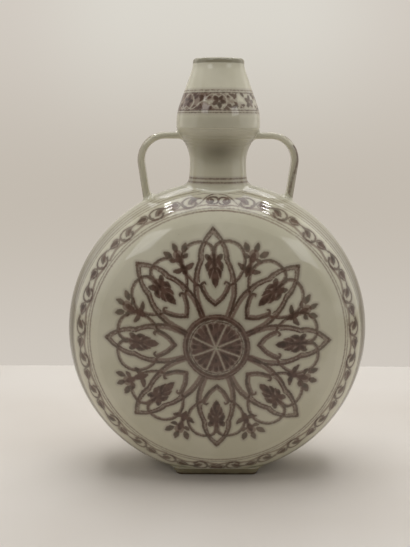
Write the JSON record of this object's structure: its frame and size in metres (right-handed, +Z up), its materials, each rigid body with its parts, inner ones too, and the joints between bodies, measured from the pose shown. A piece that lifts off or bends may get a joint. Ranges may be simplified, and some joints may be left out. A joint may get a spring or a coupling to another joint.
{
  "type": "pilgrim flask",
  "caption": "Moon-shaped porcelain flask with a flattened round body, a waisted neck with a bulb-shaped mouth, strap handles to the shoulder and a small rectangular foot.",
  "frame": {"origin": "on the table plane, under the middle of the foot ring and on the axis of the neck", "axes": "+Z up along the neck's axis; -Y is the way the painted front faces; X runs from handle to handle"},
  "size_m": [0.2194, 0.112, 0.3],
  "materials": {
    "celadon_glaze": "gloss",
    "joint_slip": "gloss",
    "foot_porcelain": "gloss"
  },
  "bodies": {
    "root": {"front_shell": "celadon_glaze", "back_shell": "celadon_glaze", "body_luting": "joint_slip", "neck_stem": "celadon_glaze", "neck_luting": "joint_slip", "mouth_bulb": "celadon_glaze", "bulb_luting": "joint_slip", "left_handle": "celadon_glaze", "left_handle_luting": "joint_slip", "right_handle": "celadon_glaze", "right_handle_luting": "joint_slip", "foot_ring": "foot_porcelain", "foot_luting": "joint_slip"}
  },
  "joints": []
}
